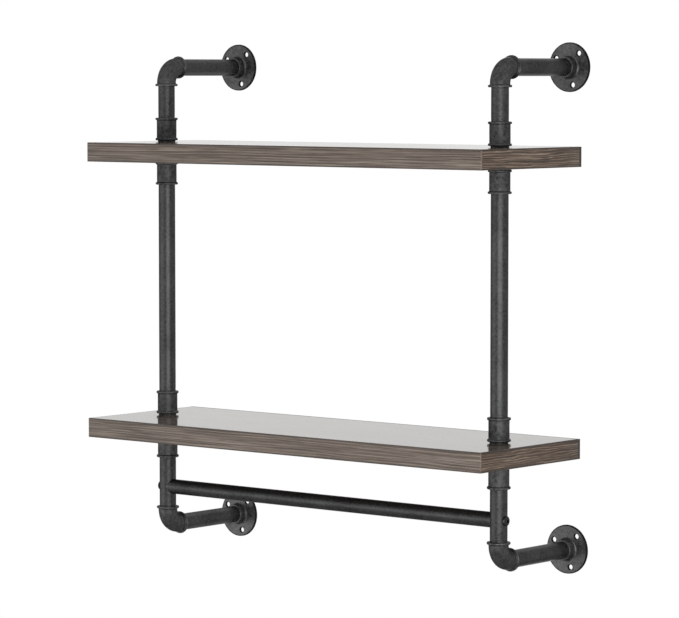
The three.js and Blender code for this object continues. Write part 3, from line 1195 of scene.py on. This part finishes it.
def edgingMesh(low, high):
    work = bmesh.new()
    bmesh.ops.create_cube(work, size=1)
    size = high - low
    for vertex in work.verts:
        vertex.co = Vector(low[axis] + (vertex.co[axis] + 0.5) * size[axis] for axis in range(3))
    bmesh.ops.bevel(work, geom=list(work.edges), offset=edging["arris"], segments=edging["arrisSteps"],
                    profile=edging["arrisProfile"], affect="EDGES", clamp_overlap=True)
    longAxis = max(range(3), key=lambda axis: size[axis])
    cuts = math.floor(size[longAxis] / edging["cell"])
    for cut in range(1, cuts):
        place = low.copy()
        place[longAxis] += size[longAxis] * cut / cuts
        normal = Vector((0, 0, 0))
        normal[longAxis] = 1
        geometry = [*work.verts, *work.edges, *work.faces]
        bmesh.ops.bisect_plane(work, geom=geometry, plane_co=place, plane_no=normal)
    mesh = bpy.data.meshes.new("edging")
    work.to_mesh(mesh)
    work.free()
    return mesh


def makeBoards():
    bands = {"front": frontEdging, "back": backEdging, "left": endEdging, "right": endEdging}
    angle = edging["sharpAngle"]
    for level in levels:
        for band, material in bands.items():
            node = f"{level}_board_{band}_band"
            mesh = roughened(edgingMesh(*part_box(node)), edging["relief"], Vector())
            dress(f"{node}_edging", mesh, Matrix.Identity(4), material, node, angle)


def finishKeptNodes():
    # nodes whose CAD shape is right only get their finish
    finishes = {"board_core": chipCore, "board_top_sheet": glossTop, "board_bottom_sheet": backingSheet,
                "board_nipple": blackPipe, "bar_plug": zincPlate}
    for name, node in frame["nodes"].items():
        for ending, material in finishes.items():
            if name.endswith(ending):
                node.data.materials.clear()
                node.data.materials.append(material)


makePostPipes()
makeArms()
print("pipes made")
makeCouplings()
makeElbows()
makeFlanges()
print("castings made")
makeTowelBar()
makeBarScrews()
print("towel bar made")
makeBoards()
finishKeptNodes()
print("boards made")


# Studio: pale floor below, white all round, a soft key by the camera, a wide fill and two back lights.
# Key and fill stand low and would only glare on the glossy board tops, seen from behind, so they
# skip these. The low back lamp stands near the floor and would draw a hard edge on it, so it skips
# the floor.

studio = {
    "floorDrop": 0.95,  # below the object's lowest point
    "floorRadius": 2.3,
    "floorSides": 96,
    "floorFade": (0.6, 0.98),  # shares of the radius, where the floor begins to clear and is gone
    "floorColour": (0.82, 0.82, 0.82, 1.0),
    "floorRoughness": 0.9,
    "ambient": 0.5,
    "skips": {"key": "tops", "fill": "tops", "backLow": "floor"},
    "lamps": {
        "key": {
            "azimuth": 47,
            "elevation": -3.5,
            "distance": 1.6,
            "width": 1.6,
            "height": 0.58,
            "power": 11.5,
        },
        "fill": {
            "azimuth": -33,
            "elevation": -9,
            "distance": 2.6,
            "width": 3.2,
            "height": 1.2,
            "power": 14,
        },
        "backHigh": {
            "azimuth": 196,
            "elevation": 33,
            "distance": 2.6,
            "width": 2.0,
            "height": 2.0,
            "power": 11,
        },
        "backLow": {
            "azimuth": 196,
            "elevation": -36,
            "distance": 1.5,
            "width": 1.1,
            "height": 1.1,
            "power": 4,
        },
    },
}


def makeFloor():
    radius = studio["floorRadius"]
    work = bmesh.new()
    bmesh.ops.create_circle(work, cap_ends=True, radius=radius, segments=studio["floorSides"])
    mesh = bpy.data.meshes.new("studio_floor")
    work.to_mesh(mesh)
    work.free()
    floor = newPiece("studio_floor", mesh)
    floor.location.z = cadBox[0].z - studio["floorDrop"]
    material, tree, shader = newMaterial("studio floor")
    shader.inputs["Base Color"].default_value = studio["floorColour"]
    shader.inputs["Roughness"].default_value = studio["floorRoughness"]
    place = addNode(tree, "ShaderNodeTexCoord").outputs["Object"]
    distance = addNode(tree, "ShaderNodeVectorMath", {0: place}, operation="LENGTH").outputs["Value"]
    begins, gone = studio["floorFade"]
    fade = rangeOf(tree, distance, radius * begins, radius * gone, 0.0, 1.0)
    # from below the floor is clear all over
    fade = mathOf(tree, "MAXIMUM", fade, addNode(tree, "ShaderNodeNewGeometry").outputs["Backfacing"])
    clear = addNode(tree, "ShaderNodeBsdfTransparent")
    mix = addNode(tree, "ShaderNodeMixShader", {0: fade, 1: shader.outputs[0], 2: clear.outputs[0]})
    tree.links.new(mix.outputs[0], tree.nodes["Material Output"].inputs["Surface"])
    mesh.materials.append(material)
    return floor


def makeWorld():
    world = bpy.data.worlds.new("studio")
    bpy.context.scene.world = world
    world.use_nodes = True
    tree = world.node_tree
    rays = addNode(tree, "ShaderNodeLightPath").outputs
    seen = mathOf(tree, "MAXIMUM", rays["Is Camera Ray"], rays["Is Glossy Ray"])
    seen = mathOf(tree, "MAXIMUM", seen, rays["Is Transmission Ray"])
    strength = rangeOf(tree, seen, 0.0, 1.0, studio["ambient"], 1.0)
    # found by bounced rays alone, so that glossy rays meet the white and not the dimmer ambient
    world.cycles.sampling_method = "NONE"
    background = tree.nodes["Background"]
    background.inputs["Color"].default_value = (1, 1, 1, 1)
    tree.links.new(strength, background.inputs["Strength"])


def unlitGroup(name, members):
    # a lamp that is given this group lights everything but its members
    group = bpy.data.collections.new(name)
    for member in members:
        group.objects.link(member)
    for entry in group.collection_objects:
        entry.light_linking.link_state = "EXCLUDE"
    return group


def makeLamps(floor):
    tops = [frame["nodes"][f"{level}_board_top_sheet"] for level in levels]
    unlit = {"tops": unlitGroup("board_tops", tops), "floor": unlitGroup("floor_alone", [floor])}
    for name, lamp in studio["lamps"].items():
        light = bpy.data.lights.new(name, "AREA")
        light.shape = "ELLIPSE"
        light.size = lamp["width"]
        light.size_y = lamp["height"]
        light.energy = lamp["power"]
        holder = bpy.data.objects.new(name, light)
        back = directionFrom(lamp["azimuth"], lamp["elevation"])
        holder.location = back * lamp["distance"]
        holder.rotation_euler = (-back).to_track_quat("-Z", "Y").to_euler()
        bpy.context.collection.objects.link(holder)
        if name in studio["skips"]:
            holder.light_linking.receiver_collection = unlit[studio["skips"][name]]


studioFloor = makeFloor()
makeWorld()
makeLamps(studioFloor)
bpy.context.scene.view_settings.view_transform = "Standard"
print("studio made")
